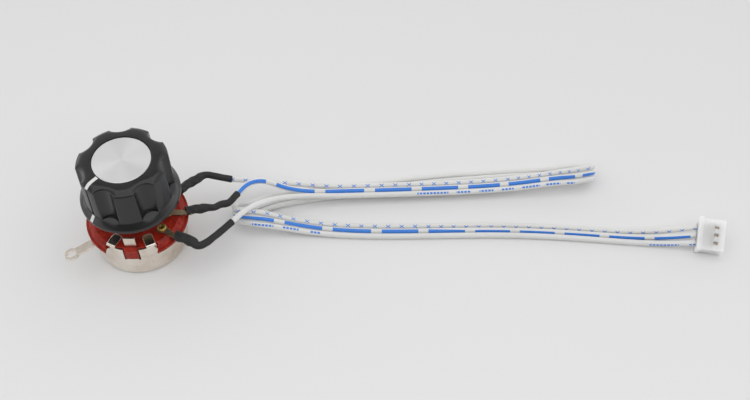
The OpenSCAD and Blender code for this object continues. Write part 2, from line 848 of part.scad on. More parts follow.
module set_screw() color([0.3, 0.3, 0.31]) {
    socket_r = screw_r * 0.5;
    socket_depth = screw_len * 0.4;
    point = 0.5;
    rotate([0, 0, pointer_angle + 180])
        translate([shaft_r + fit, 0, screw_z])
            rotate([0, 90, 0])
                difference() {
                    rotate_extrude()
                        polygon([
                            [0, 0.15],
                            [screw_r - point, 0.15],
                            [screw_r, point + 0.15],
                            [screw_r, screw_len],
                            [0, screw_len]
                        ]);
                    translate([0, 0, screw_len - socket_depth])
                        cylinder(r = socket_r, h = socket_depth + past, $fn = 6);
                }
}

module knob_disc() color([0.83, 0.83, 0.83]) {
    edge = 0.15;
    rotate_extrude()
        polygon([
            [0, disc_low],
            [disc_r, disc_low],
            [disc_r, disc_top - edge],
            [disc_r - edge, disc_top],
            [0, disc_top]
        ]);
}

module pointer_inlay() color([0.92, 0.92, 0.9]) {
    radial_plate([
        [disc_r + 0.1, knob_top - inlay_depth],
        [grip_top_r - grip_chamfer_w - inlay_depth / 2, knob_top - inlay_depth],
        [grip_top_r - inlay_depth, knob_top - grip_chamfer_h],
        [grip_top_r, knob_top - grip_chamfer_h],
        [grip_top_r - grip_chamfer_w, knob_top],
        [disc_r + 0.1, knob_top]
    ], pointer_w, pointer_angle);
    radial_plate([
        [mark_r, mark_z - inlay_depth],
        [skirt_r - inlay_depth, skirt_top - inlay_depth],
        [skirt_r, skirt_top - inlay_depth],
        [skirt_r, skirt_top],
        [mark_r, mark_z]
    ], mark_w, pointer_angle);
}

// Sweep of a round section along a route, as one closed solid
function unit(v) = v / norm(v);
function heading(route, i) = unit(route[min(i + 1, len(route) - 1)] - route[max(i - 1, 0)]);
function ring_points(route, widths, i, r) =
    let (
        t = heading(route, i),
        u = unit(cross(widths[i], t)),
        v = cross(t, u)
    )
    [for (k = [0 : sides - 1]) route[i] + r * (cos(k * 360 / sides) * u + sin(k * 360 / sides) * v)];
function tube_faces(count) = concat(
    [[for (k = [0 : sides - 1]) k]],
    [for (i = [0 : count - 2], k = [0 : sides - 1])
        [i * sides + k, (i + 1) * sides + k, i * sides + (k + 1) % sides]],
    [for (i = [0 : count - 2], k = [0 : sides - 1])
        [(i + 1) * sides + k, (i + 1) * sides + (k + 1) % sides, i * sides + (k + 1) % sides]],
    [[for (k = [0 : sides - 1]) count * sides - 1 - k]]
);
module swept_tube(route, widths, r_start, r_end) {
    count = len(route);
    polyhedron(
        points = [for (i = [0 : count - 1])
            each ring_points(route, widths, i, r_start + (r_end - r_start) * i / (count - 1))],
        faces = tube_faces(count)
    );
}

// Width direction of the ribbon, and the route of one of its conductors: 1 far, 0 middle, -1 near
function across(row) = [-sin(row[5]) * cos(row[3]), cos(row[5]) * cos(row[3]), sin(row[3])];
function spacing(row) = ribbon_pitch + (contact_pitch - ribbon_pitch) * row[4];
function bonded(place) = [for (row = ribbon) [row[0], row[1], row[2]] + place * spacing(row) * across(row)];
module conductor(lead, place) {
    widths = concat([for (p = lead) [0, 1, 0]], [for (row = ribbon) across(row)]);
    swept_tube(concat(lead, bonded(place)), widths, wire_r, wire_r);
}

module conductor_rear() color([0.9, 0.9, 0.88]) conductor(rear_lead, 1);

module conductor_middle() color([0.35, 0.6, 0.88]) conductor(middle_lead, 0);

module conductor_front() color([0.9, 0.9, 0.88]) conductor(front_lead, -1);

// One shrunk sleeve over a terminal's tail and the wire soldered to it
module sleeve(route) {
    swept_tube(route, [for (p = route) [0, 0, 1]], sleeve_big_r, sleeve_small_r);
}

module sleeve_rear() color([0.09, 0.09, 0.09]) sleeve(rear_sleeve);

module sleeve_middle() color([0.09, 0.09, 0.09]) sleeve(middle_sleeve);

module sleeve_front() color([0.09, 0.09, 0.09]) sleeve(front_sleeve);

// Connector's own frame: X towards the mating end, Y across, Z through its thickness
module at_connector() {
    translate(conn_at)
        rotate([conn_roll, 0, conn_yaw])
            children();
}

// Block centred across Y and Z on the contacts, between two lengths along X
module conn_block(x0, x1, w, h) {
    translate([x0, -w / 2, -h / 2])
        cube([x1 - x0, w, h]);
}

module connector_housing() color([0.9, 0.9, 0.88]) {
    body_low = conn_drop - conn_t / 2;
    body_top = conn_drop + conn_t / 2;
    nose_at = conn_len - conn_nose_len;
    at_connector()
        difference() {
            union() {
                translate([0, 0, conn_drop]) {
                    conn_block(0, conn_len, conn_w, conn_t);
                    conn_block(0, conn_flange_len, conn_w + 2 * conn_flange, conn_t);
                }
                for (side = [-1, 1])
                    translate([conn_flange_len, side * conn_w / 3 - rib_w / 2, body_low - rib_h])
                        cube([conn_len - conn_flange_len - conn_front, rib_w, rib_h + 0.2]);
            }
            translate([conn_flange_len, -conn_w / 2 - past, body_top - conn_recess])
                cube([nose_at - conn_flange_len, conn_w + 2 * past, conn_recess + past]);
            for (place = [-1 : 1])
                translate([0, place * contact_pitch, 0]) {
                    conn_block(-past, conn_len - conn_front, cavity_w, cavity_h);
                    conn_block(conn_len - conn_front - past, conn_len + past, pin_open, pin_open);
                    translate([nose_at - 0.1, -pin_open / 2, 0])
                        cube([window_len, pin_open, body_top + past]);
                }
        }
}

module connector_contacts() color([0.78, 0.7, 0.5]) {
    box_w = cavity_w - 2 * contact_clear;
    box_len = conn_len * 0.55;
    box_end = conn_len - conn_front - fit;
    crimp_r = 0.6;
    at_connector()
        for (place = [-1 : 1])
            translate([0, place * contact_pitch, 0])
                difference() {
                    union() {
                        conn_block(box_end - box_len, box_end, box_w, cavity_h - 2 * contact_clear);
                        rotate([0, 90, 0])
                            cylinder(r = crimp_r, h = box_end - box_len + 0.2);
                    }
                    conn_block(box_end - box_len * 0.8, box_end + past, pin_open - 0.3, pin_open - 0.3);
                }
}

can();
base();
bushing();
lock_washer();
mounting_nut();
resistive_track();
collector_ring();
terminal_rear();
terminal_middle();
terminal_front();
terminal_rivets();
shaft();
retaining_ring();
rotor_disc();
wiper_spring();
wiper_brush();
knob_shell();
knob_insert();
set_screw();
knob_disc();
pointer_inlay();
sleeve_rear();
sleeve_middle();
sleeve_front();
conductor_rear();
conductor_middle();
conductor_front();
connector_housing();
connector_contacts();
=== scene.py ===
"""Dresses a rotary panel potentiometer: clawed can, red base, fluted pointer knob and a three-wire lead."""

import math

import bpy
import numpy as np
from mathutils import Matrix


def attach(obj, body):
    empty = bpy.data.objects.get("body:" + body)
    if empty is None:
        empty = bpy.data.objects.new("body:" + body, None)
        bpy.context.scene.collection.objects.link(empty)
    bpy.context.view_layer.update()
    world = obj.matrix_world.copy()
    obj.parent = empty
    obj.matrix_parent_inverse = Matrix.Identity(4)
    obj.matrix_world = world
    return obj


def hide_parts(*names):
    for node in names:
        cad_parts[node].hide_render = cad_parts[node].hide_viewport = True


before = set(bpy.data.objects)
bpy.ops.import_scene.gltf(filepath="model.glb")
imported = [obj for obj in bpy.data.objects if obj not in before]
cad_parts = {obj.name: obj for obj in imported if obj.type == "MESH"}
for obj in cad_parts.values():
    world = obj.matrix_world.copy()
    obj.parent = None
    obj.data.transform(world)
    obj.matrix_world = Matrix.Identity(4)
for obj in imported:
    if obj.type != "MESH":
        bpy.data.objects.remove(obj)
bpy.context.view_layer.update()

# Camera
# The lens, height and tilt that lay the can, the base and the knob on the photograph's own ellipses.
# It looks along +Y, down onto the part, with no roll and no shift.
camera = bpy.data.objects.new("camera", bpy.data.cameras.new("camera"))
camera.data.sensor_fit = "HORIZONTAL"
camera.data.sensor_width = 36
camera.data.lens = 51.02
camera.location = (0.07266, -0.19572, 0.27056)
camera.rotation_euler = (math.radians(37.85), 0, 0)
bpy.context.collection.objects.link(camera)
bpy.context.scene.camera = camera

# Lead
# Three copper wires in white PVC, bonded side by side into a ribbon 400 mm long and split at the terminals.
# It runs out to the right, folds back under itself, folds again beside the part and ends in the connector.
MM = 0.001
wire_r = 0.875 * MM
ribbon_pitch, contact_pitch = 1.92, 2.5
ribbon_step, wire_step, wire_sides = 1.0, 0.8, 20
sharp_turn = math.radians(50)
ribbon_route = np.array([
    # x, y, z and tilt of the middle wire, the share of the fan-out to the contacts,
    # and the yaw of the ribbon's width
    [63, 15.7, 3.2, 0, 0, 0],
    [94, 17.2, 2.8, 0, 0, 0],
    [122, 18.9, 4, 4, 0, 0],
    [133, 19.6, 5.5, 16, 0, 0],
    [139, 19.9, 6.4, 36, 0, 0],
    [141.8, 20.7, 6.3, 38, 0, 0],
    [142.9, 22.1, 4.8, 38, 0, 0],
    [141.8, 23.6, 3.1, 38, 0, 0],
    [139, 24.3, 2.2, 38, 0, 0],
    [131, 24.5, 0.9, 0, 0, 0],
    [104, 22.6, 0.9, 0, 0, 0],
    [70, 18.3, 0.9, 0, 0, 0],
    [46, 14.6, 0.9, 0, 0, 0],
    [38, 11.8, 1.7, 22, 0, 0],
    [32.2, 9, 2.5, 55, 0, 0],
    [29.6, 8.1, 3.1, 55, 0, 0],
    [28.6, 6, 4.5, 55, 0, 0],
    [29.6, 4, 6, 55, 0, 0],
    [32.2, 3.1, 6.6, 55, 0, 0],
    [39, 3, 4.9, 22, 0, 0],
    [52, 2.5, 1.6, 0, 0, 0],
    [66, 1.6, 0.9, 0, 0, 0],
    [112, 1.8, 0.9, 0, 0, 0],
    [138, 0.4, 0.9, 0, 0, 0],
    [152, -0.9, 1.2, 8, 0, 0],
    [162, -1.6, 2, 14, 0.4, -4],
    [172.2, -2.1, 3.8, 24, 1, -11],
])
# Each wire's place across the ribbon, and the points of its split end
lead_routes = {
    "conductor_rear": (1, [[27.4, 15.7, 9.2], [35, 17, 6.8], [46, 17.4, 5]]),
    "conductor_middle": (0, [[29.8, 9.3, 10], [33, 13.5, 9.8], [37.7, 15.2, 8.8], [42.8, 14.8, 6.8]]),
    "conductor_front": (-1, [[29.1, -2, 10.5], [32.8, 2.6, 10.2], [38, 7, 8.8], [46, 11, 6.2]]),
}
# The print on each wire: millimetres from the sleeve, and the crosses, dashes or millimetres up to there.
# The printing machine's spacing drifts a little.
print_places = {
    "conductor_rear": [
        [0, 0], [17, 4], [57, 13], [89, 21], [106, 26], [114.5, 29],
        [247.5, 59], [274, 65], [303.5, 72], [343, 82], [386.5, 93],
    ],
    "conductor_middle": [
        [0, 0.1], [14.3, 1], [46.3, 3], [76.3, 5], [102.4, 7], [113, 8],
        [256.6, 17], [287.4, 19], [316.7, 21], [344.7, 23], [385, 25.9],
    ],
    "conductor_front": [[0, 0], [400, 400]],
}
# How far the printed side is turned from the ribbon's face: millimetres from the sleeve, and degrees
print_turns = [
    [0, 38], [235, 38], [250, 12], [280, 36], [300, 38], [315, 72], [345, 78], [360, 70], [387, 60],
]
# Where each group of ticks begins and ends, in millimetres from the sleeve
tick_groups = [
    (63, 73), (75.5, 80), (83, 87.5), (90, 94), (96.5, 102.5), (104.5, 109), (111, 113.5),
    (249, 255.5), (258.5, 263.5), (267, 270.5), (373, 382), (385, 387),
]
# Sizes of the ink marks in millimetres, with a dash's length as a share of its count
cross_pitch, cross_reach, cross_slope, stroke_half_w = 4.3, 0.66, 0.72, 0.15
dash_share, dash_half_w = 0.785, 0.66
tick_pitch, tick_length, tick_half_w = 1.1, 0.8, 0.32


def smooth_curve(knots, step):
    """Natural cubic spline through the knots' columns, run by chord length and sampled about every step.

    The second derivatives at the knots solve the usual three-band system, with none at the two ends.
    """
    chord = np.linalg.norm(np.diff(knots[:, :3], axis=0), axis=1)
    run = np.concatenate([[0.0], np.cumsum(chord)])
    gap = np.diff(run)
    inner = np.arange(1, len(run) - 1)
    bands = np.eye(len(run))
    bands[inner, inner - 1] = gap[:-1]
    bands[inner, inner] = 2 * (gap[:-1] + gap[1:])
    bands[inner, inner + 1] = gap[1:]
    pull = np.zeros_like(knots)
    pull[1:-1] = 6 * np.diff(np.diff(knots, axis=0) / gap[:, None], axis=0)
    bend = np.linalg.solve(bands, pull)
    at = np.linspace(0, run[-1], int(run[-1] / step) + 1)
    knot = np.clip(np.searchsorted(run, at, side="right") - 1, 0, len(run) - 2)
    left, right, span = (run[knot + 1] - at)[:, None], (at - run[knot])[:, None], gap[knot][:, None]
    return (
        (bend[knot] * left**3 + bend[knot + 1] * right**3) / (6 * span)
        + (knots[knot] / span - bend[knot] * span / 6) * left
        + (knots[knot + 1] / span - bend[knot + 1] * span / 6) * right
    )


def across_ribbon(tilt, yaw):
    """Unit vectors across the ribbon: tilted up from level, then turned about the upright, in degrees."""
    tilt, yaw = np.radians(tilt), np.radians(yaw)
    return np.stack([-np.sin(yaw) * np.cos(tilt), np.cos(yaw) * np.cos(tilt), np.sin(tilt)], axis=1)


def unit_rows(rows):
    """Each row divided by its own length."""
    return rows / np.linalg.norm(rows, axis=-1, keepdims=True)


def ring_surface(name, rings, uv=None, caps=True):
    """Mesh over a grid of closed rings: quads join neighbouring rings, and flat caps close the two ends.

    uv holds one more column than the rings, so that the map doesn't wrap at the seam.
    """
    rows, columns = rings.shape[:2]
    row, column = np.arange(rows - 1)[:, None], np.arange(columns)[None, :]
    lower = np.stack([row * columns + column, row * columns + (column + 1) % columns], axis=-1)
    quads = np.concatenate([lower, lower[..., ::-1] + columns], axis=-1).reshape(-1, 4)
    ends = [np.arange(columns)[::-1].tolist(), (np.arange(columns) + (rows - 1) * columns).tolist()]
    mesh = bpy.data.meshes.new(name)
    mesh.from_pydata(rings.reshape(-1, 3), [], quads.tolist() + (ends if caps else []))
    if uv is not None:
        layer = mesh.uv_layers.new(name="along")
        quad_uv = np.stack([uv[:-1, :-1], uv[:-1, 1:], uv[1:, 1:], uv[1:, :-1]], axis=2)
        loop_uv = np.zeros((len(mesh.loops), 2))
        loop_uv[: 4 * len(quads)] = quad_uv.reshape(-1, 2)
        layer.data.foreach_set("uv", loop_uv.ravel())
    mesh.polygons.foreach_set("use_smooth", np.ones(len(mesh.polygons), dtype=bool))
    mesh.set_sharp_from_angle(angle=sharp_turn)
    piece = bpy.data.objects.new(name, mesh)
    bpy.context.collection.objects.link(piece)
    return piece


class Field:
    """One shader socket: operators on it add Math nodes, and add() puts in any other node."""

    def __init__(self, tree, socket):
        self.tree = tree
        self.socket = socket

    def add(self, kind, settings=None, sockets=None, out=0):
        """New node of that kind, with its settings and its sockets' values or links; returns one output."""
        node = self.tree.nodes.new(kind)
        for key, value in (settings or {}).items():
            setattr(node, key, value)
        for key, value in (sockets or {}).items():
            if isinstance(value, Field):
                self.tree.links.new(value.socket, node.inputs[key])
            else:
                node.inputs[key].default_value = value
        return Field(self.tree, node.outputs[out])

    def math(self, operation, *values):
        """Math node with that operation on the values."""
        return self.add("ShaderNodeMath", {"operation": operation}, dict(enumerate(values)))

    def __add__(self, other):
        return self.math("ADD", self, other)

    def __radd__(self, other):
        return self.math("ADD", other, self)

    def __sub__(self, other):
        return self.math("SUBTRACT", self, other)

    def __rsub__(self, other):
        return self.math("SUBTRACT", other, self)

    def __mul__(self, other):
        return self.math("MULTIPLY", self, other)

    def __rmul__(self, other):
        return self.math("MULTIPLY", other, self)

    def __pow__(self, other):
        return self.math("POWER", self, other)

    def __mod__(self, other):
        return self.math("FLOORED_MODULO", self, other)

    def __lt__(self, other):
        return self.math("LESS_THAN", self, other)

    def __gt__(self, other):
        return self.math("GREATER_THAN", self, other)

    def __abs__(self):
        return self.math("ABSOLUTE", self)


def components(vector):
    """The three parts of a vector, each as a Field."""
    split = vector.add("ShaderNodeSeparateXYZ", {}, {"Vector": vector}).socket.node
    return [Field(vector.tree, part) for part in split.outputs]


def new_finish(name, coords="Object", **shader):
    """Node material with its even values on the Principled shader's own sockets.

    Returns the material, a Field on the piece's coordinates, and a function that links what varies.
    """
    material = bpy.data.materials.new(name)
    material.use_nodes = True
    tree = material.node_tree
    principled = tree.nodes["Principled BSDF"]
    for key, value in shader.items():
        principled.inputs[key.replace("_", " ")].default_value = value
    place = Field(tree, None).add("ShaderNodeTexCoord", out=coords)

    def feed(**sockets):
        for key, field in sockets.items():
            tree.links.new(field.socket, principled.inputs[key.replace("_", " ")])

    return material, place, feed


def noise(place, scale, detail=3, rough=0.55):
    """Fractal noise from 0 to 1, with that many features to the metre."""
    sockets = {"Vector": place, "Scale": scale, "Detail": detail, "Roughness": rough}
    return place.add("ShaderNodeTexNoise", {}, sockets)


def between(amount, low, high):
    """Colour that goes from low to high with amount."""
    return amount.add("ShaderNodeMix", {"data_type": "RGBA"}, {0: amount, 6: low, 7: high}, out=2)


def relief(height, depth, normal=None):
    """Bump from a height field from 0 to 1 that is that deep, in metres."""
    sockets = {"Height": height, "Distance": depth, "Strength": 1.0}
    if normal is not None:
        sockets["Normal"] = normal
    return height.add("ShaderNodeBump", {}, sockets, out="Normal")


def inked_pvc(name, ink_of):
    """White PVC with blue ink, worn a little.

    The map's u counts the print along the wire, and v is millimetres round it from the print's middle.
    """
    material, place, feed = new_finish(
        name, coords="UV", IOR=1.5,
        Subsurface_Weight=0.6, Subsurface_Radius=(1, 1, 1), Subsurface_Scale=0.0015,
    )
    along, round_it, _ = components(place)
    body = place.add("ShaderNodeTexCoord", out="Object")
    ink = ink_of(along, abs(round_it))
    worn = ink * (0.9 + 0.1 * noise(body, 2500))
    white = between(noise(body, 90, 2), (0.68, 0.68, 0.67, 1), (0.73, 0.73, 0.72, 1))
    feed(
        Base_Color=between(worn, white, (0.012, 0.205, 0.70, 1)),
        Roughness=0.36 + 0.12 * noise(body, 700),
        Normal=relief(noise(body, 1400, 2), 0.02 * MM),
    )
    return material


def crosses(along, across):
    """One cross at each whole count: ink where the distance along times the slope is that across."""
    from_middle = abs((along + 0.5) % 1 - 0.5) * cross_pitch
    return (abs(from_middle * cross_slope - across) < stroke_half_w) * (from_middle < cross_reach)


def long_dashes(along, across):
    """A dash over the first four fifths of each count, about two thirds of the wire's visible width."""
    return (along % 1 < dash_share) * (across < dash_half_w)


def short_ticks(along, across):
    """Short plain ticks, evenly spaced within the groups only."""
    shown = sum((along > first) * (along < last) for first, last in tick_groups)
    return shown * (along % tick_pitch < tick_length) * (across < tick_half_w)


ink_for = {"conductor_rear": crosses, "conductor_middle": long_dashes, "conductor_front": short_ticks}
ribbon = smooth_curve(ribbon_route, ribbon_step)
ribbon_gap = ribbon_pitch + (contact_pitch - ribbon_pitch) * ribbon[:, 4:5]
wire_turn = np.linspace(-math.pi, math.pi, wire_sides + 1)
for name, (side, split_end) in lead_routes.items():
    # The wire's own line: its split end, then its place in the ribbon, never sunk into the table
    aside = side * ribbon_gap * across_ribbon(ribbon[:, 3], ribbon[:, 5])
    bonded = np.concatenate([ribbon[:, :3] + aside, ribbon[:, [3, 5]]], axis=1)
    split = np.concatenate([np.array(split_end), np.zeros((len(split_end), 2))], axis=1)
    line = smooth_curve(np.concatenate([split, bonded]), wire_step)
    centre = line[:, :3] * MM
    centre[:, 2] = np.maximum(centre[:, 2], wire_r)
    # Rings square to the line, counted from the printed side, which is turned from the ribbon's face
    ahead = unit_rows(np.gradient(centre, axis=0))
    width = across_ribbon(line[:, 3], line[:, 4])
    face = unit_rows(np.cross(ahead, width))
    width = np.cross(face, ahead)
    length = np.concatenate([[0.0], np.cumsum(np.linalg.norm(np.diff(centre, axis=0), axis=1))])
    printed = np.interp(length / MM, *np.array(print_places[name]).T)
    twist = np.radians(np.interp(length / MM, *np.array(print_turns).T))[:, None]
    inked = face * np.cos(twist) - width * np.sin(twist)
    beside = np.cross(ahead, inked)
    turn = wire_turn[None, :-1, None]
    rings = centre[:, None] + wire_r * (np.cos(turn) * inked[:, None] + np.sin(turn) * beside[:, None])
    uv = np.stack(np.broadcast_arrays(printed[:, None], wire_turn[None] * wire_r / MM), axis=-1)
    place_name = name.removeprefix("conductor_")
    wire = ring_surface("wire_" + place_name, rings, uv)
    wire.data.materials.append(inked_pvc("ink_" + place_name, ink_for[name]))
    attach(wire, "stator")
    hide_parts(name)

# Sleeves
# Black polyolefin tube, about 2.5 mm thick, shrunk over each soldered joint and lumpy over the tail.
# It narrows to hug the wire, and its free end is cut square.
sleeve_routes = {
    "sleeve_rear": [
        [12.3, 8.5, 12.7], [14.9, 11.9, 12.0], [17, 14.1, 11.4], [18.3, 15.7, 10.9],
        [19, 16.2, 10.7], [21.3, 16.3, 10.3], [24, 16, 9.8], [27.4, 15.7, 9.2],
    ],
    "sleeve_middle": [
        [15, 0.4, 12.7], [17.8, 1.5, 12.2], [19.7, 2, 11.9], [21.7, 2.7, 11.5], [23.1, 2.9, 11.2],
        [24.5, 4, 10.9], [26, 4.7, 10.7], [27.2, 5.2, 10.5], [28.4, 6.8, 10.3], [29.8, 9.3, 10],
    ],
    "sleeve_front": [
        [12.8, -8.8, 12.7], [14.9, -9.3, 12.4], [16.6, -9.9, 12.1], [18.4, -10.8, 11.8],
        [19.6, -11.5, 11.5], [21.5, -10.9, 11.3], [23.1, -9.3, 11.1], [25.2, -6.9, 10.9],
        [27.9, -3.5, 10.6], [29.1, -2, 10.5],
    ],
}
# Places of each tube's lumps as shares of its length, and how far each one swells, in millimetres
sleeve_lumps = {
    "sleeve_rear": [(0.16, 0.14), (0.3, 0.22), (0.42, 0.24)],
    "sleeve_middle": [(0.16, 0.16), (0.3, 0.2), (0.48, -0.1), (0.66, 0.1)],
    "sleeve_front": [(0.1, 0.24), (0.22, 0.3), (0.34, 0.1)],
}
lump_spread = 0.075
# Dents that wind along the tube: how many round it, their depth as a share of its radius, and their winding
sleeve_dents = [(2, 0.06, 26), (3, 0.05, -41)]
sleeve_r, sleeve_taper, taper_rate = 1.3, 0.22, 1.6
sleeve_flat, flat_rate = 0.12, 2.2
loose_start, loose_rate, loose_least = 1.3, 1.6, 0.2
sleeve_step, sleeve_sides = 0.25, 28
# Each lip's size as a share of the wall, and how far it turns in
tail_lip, tail_lip_depth = 0.72, 0.5
wire_lip, wire_lip_depth = 0.9, 0.4
shrink_black, place, feed = new_finish("shrink_black", IOR=1.48)
creases = noise(place, 420, 4)
feed(
    Base_Color=between(noise(place, 260), (0.008, 0.008, 0.008, 1), (0.017, 0.017, 0.018, 1)),
    Roughness=0.52 + 0.2 * noise(place, 600),
    Normal=relief(creases, 0.2 * MM),
)
sleeve_turn = np.linspace(0, 2 * math.pi, sleeve_sides + 1)[:-1]
for name, route in sleeve_routes.items():
    # Radius along the tube: a taper to the wire, plus lumps that fade as bell curves
    line = smooth_curve(np.array(route, dtype=float), sleeve_step)
    share = np.linspace(0, 1, len(line))
    lumps = np.array(sleeve_lumps[name])
    swell = (lumps[:, 1:] * np.exp(-(((share[None] - lumps[:, :1]) / lump_spread) ** 2))).sum(axis=0)
    radius = sleeve_r - sleeve_taper * np.minimum(share * taper_rate, 1) + swell
    # The tube is flatter over the tail, and its dents die away where it grips the wire
    flat = sleeve_flat * np.clip(1 - share * flat_rate, 0, 1)
    loose = np.clip(loose_start - share * loose_rate, loose_least, 1)[:, None]
    dents = sum(
        deep * np.sin(many * sleeve_turn + wind * share[:, None]) for many, deep, wind in sleeve_dents
    )
    ahead = unit_rows(np.gradient(line, axis=0))
    flank = unit_rows(np.cross(np.array([0, 0, 1.0]), ahead))
    above = np.cross(ahead, flank)
    turn = sleeve_turn[None, :, None]
    wall = (
        np.cos(turn) * (radius * (1 + flat))[:, None, None] * flank[:, None]
        + np.sin(turn) * (radius * (1 - flat))[:, None, None] * above[:, None]
    )
    wall = wall * (1 + loose * dents)[..., None]
    # The two ends close with lips that turn in
    tail_end, wire_end = line[:1, None] + tail_lip * wall[:1], line[-1:, None] + wire_lip * wall[-1:]
    rings = np.concatenate([
        tail_end + tail_lip_depth * ahead[0], tail_end,
        line[:, None] + wall,
        wire_end, wire_end - wire_lip_depth * ahead[-1],
    ])
    sleeve = ring_surface(name + "_skin", rings * MM)
    sleeve.data.materials.append(shrink_black)
    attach(sleeve, "stator")
    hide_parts(name)

# Can
# Drawn tinplate, 28 mm across and 0.5 mm thick, with four claws folded over the base and a lug for earth.
# The sheet is bright, with faint upright drawing marks and a slightly warm cast.
def dress(node, material):
    """Puts the material on every slot of a CAD node."""
    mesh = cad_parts[node].data
    mesh.materials.clear()
    mesh.materials.append(material)


def soft_edges(place, radius):
    """Normal that rounds the piece's edges over that radius, in metres."""
    return place.add("ShaderNodeBevel", {"samples": 8}, {"Radius": radius}, out="Normal")


tinned_steel, place, feed = new_finish("tinned_steel", Metallic=1.0)
drawn = place.add("ShaderNodeMapping", {}, {"Vector": place, "Scale": (1, 1, 0.08)})
marks = noise(drawn, 1500, 4)
haze = noise(place, 160, 3)
stain = noise(place, 110, 4, 0.65) ** 3
clean = between(haze, (0.88, 0.825, 0.755, 1), (0.955, 0.92, 0.865, 1))
feed(
    Base_Color=between(2.2 * stain, clean, (0.56, 0.44, 0.33, 1)),
    Roughness=0.15 + 0.1 * marks + 0.1 * haze,
    Normal=relief(marks, 0.006 * MM, soft_edges(place, 0.2 * MM)),
)
dress("can", tinned_steel)

# Base
# Brick-red phenolic moulding, 31 mm across, that closes the can and carries the terminals.
# It is glossy, with a mottled filler and a slightly worn skin.
red_phenolic, place, feed = new_finish("red_phenolic", IOR=1.32)
mottle = noise(place, 620, 6, 0.8)
feed(
    Base_Color=between(3 * mottle - 1, (0.16, 0.005, 0.003, 1), (0.45, 0.030, 0.011, 1)),
    Roughness=0.24 + 0.26 * noise(place, 700),
    Normal=relief(noise(place, 1200, 4), 0.03 * MM, soft_edges(place, 0.16 * MM)),
)
dress("base", red_phenolic)

# Terminals and rivets
# Thin tinned brass strips in grooves of the base, each held by a hollow brass rivet.
# The strips are dull and the rolled heads are bright. The collector ring and the wiper's spring are of the
# strips' sheet, and the knob's insert is of the rivets' brass.
contact_metal, place, feed = new_finish("contact_metal", Metallic=1.0)
stain = noise(place, 700, 4)
feed(
    Base_Color=between(stain, (0.34, 0.25, 0.13, 1), (0.54, 0.45, 0.32, 1)),
    Roughness=0.3 + 0.2 * stain,
    Normal=relief(noise(place, 3000, 2), 0.006 * MM, soft_edges(place, 0.12 * MM)),
)
for node in ("terminal_rear", "terminal_middle", "terminal_front", "collector_ring", "wiper_spring"):
    dress(node, contact_metal)
rivet_brass, place, feed = new_finish("rivet_brass", Metallic=1.0)
stain = noise(place, 900, 4)
feed(
    Base_Color=between(stain, (0.28, 0.18, 0.04, 1), (0.50, 0.35, 0.11, 1)),
    Roughness=0.22 + 0.2 * stain,
    Normal=relief(noise(place, 2500, 2), 0.006 * MM, soft_edges(place, 0.15 * MM)),
)
dress("terminal_rivets", rivet_brass)
dress("knob_insert", rivet_brass)

# Track and brush
# Carbon film printed on the base's underside, and the moulded carbon block that runs on it.
# Both are sealed in the can.
carbon, place, feed = new_finish("carbon")
grain = noise(place, 2600, 4)
feed(
    Base_Color=between(grain, (0.012, 0.012, 0.013, 1), (0.04, 0.04, 0.042, 1)),
    Roughness=0.5 + 0.25 * grain,
    Normal=relief(grain, 0.01 * MM),
)
dress("resistive_track", carbon)
dress("wiper_brush", carbon)

# Bushing
# Turned brass, 10 mm across, with a fine thread for the panel nut and a flange under the base.
# The thread is a ridge that climbs 0.75 mm with each turn.
bushing_r, bore_r, flange_r = 5.0, 3.04, 6.4
base_low, flange_top, base_top, bushing_top = 9.2, 10.4, 12.3, 21.0
thread_pitch, thread_depth, thread_fade = 0.75, 0.38, 0.4
plain_below, plain_above, lead_in = 0.2, 0.4, 0.5
thread_sides, thread_rows = 72, 117
turn = np.linspace(0, 2 * math.pi, thread_sides + 1)[:-1]
height = np.linspace(base_top, bushing_top, thread_rows)
# A ridge of triangular section that fades near both ends, under a short bevel that starts the nut
phase = (height[:, None] / thread_pitch - turn[None] / (2 * math.pi)) % 1
from_ends = np.minimum(height - base_top - plain_below, bushing_top - plain_above - height)
fade = np.clip(from_ends / thread_fade, 0, 1)[:, None]
start = np.clip((height - (bushing_top - lead_in)) / lead_in, 0, 1)[:, None]
threaded = bushing_r - fade * thread_depth * np.abs(2 * phase - 1) - lead_in * start
flange = np.array([
    [bore_r, base_low], [flange_r, base_low], [flange_r, flange_top], [bushing_r, flange_top],
])
bore = np.array([[bore_r, bushing_top], [bore_r, base_low]])
radius = np.concatenate([
    np.broadcast_to(flange[:, :1], (len(flange), thread_sides)),
    threaded,
    np.broadcast_to(bore[:, :1], (len(bore), thread_sides)),
])
level = np.concatenate([flange[:, 1], height, bore[:, 1]])[:, None]
rings = np.stack(np.broadcast_arrays(radius * np.cos(turn), radius * np.sin(turn), level), axis=-1)
bushing = ring_surface("threaded_bushing", rings * MM, caps=False)
# Painted shade: the brass colour is far darker than bright brass, so that the claws reflect it as black as
# the shadow under the knob
brass_with_painted_shade, place, feed = new_finish("brass_with_painted_shade", Metallic=1.0)
stain = noise(place, 500, 4)
feed(
    Base_Color=between(stain, (0.20, 0.16, 0.09, 1), (0.32, 0.26, 0.16, 1)),
    Roughness=0.24 + 0.16 * stain,
    Normal=relief(noise(place, 2200, 3), 0.006 * MM),
)
bushing.data.materials.append(brass_with_painted_shade)
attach(bushing, "stator")
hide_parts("bushing")

# Nut, washer and shaft
# Zinc-plated steel nut and toothed washer on the bushing, and the plain turned shaft.
# The plating is bright with a faint cloud.
bright_steel, place, feed = new_finish("bright_steel", Metallic=1.0)
cloud = noise(place, 300, 4)
feed(
    Base_Color=between(cloud, (0.62, 0.62, 0.60, 1), (0.80, 0.80, 0.79, 1)),
    Roughness=0.2 + 0.18 * cloud,
    Normal=relief(noise(place, 2600, 3), 0.005 * MM, soft_edges(place, 0.15 * MM)),
)
for node in ("lock_washer", "mounting_nut", "shaft"):
    dress(node, bright_steel)

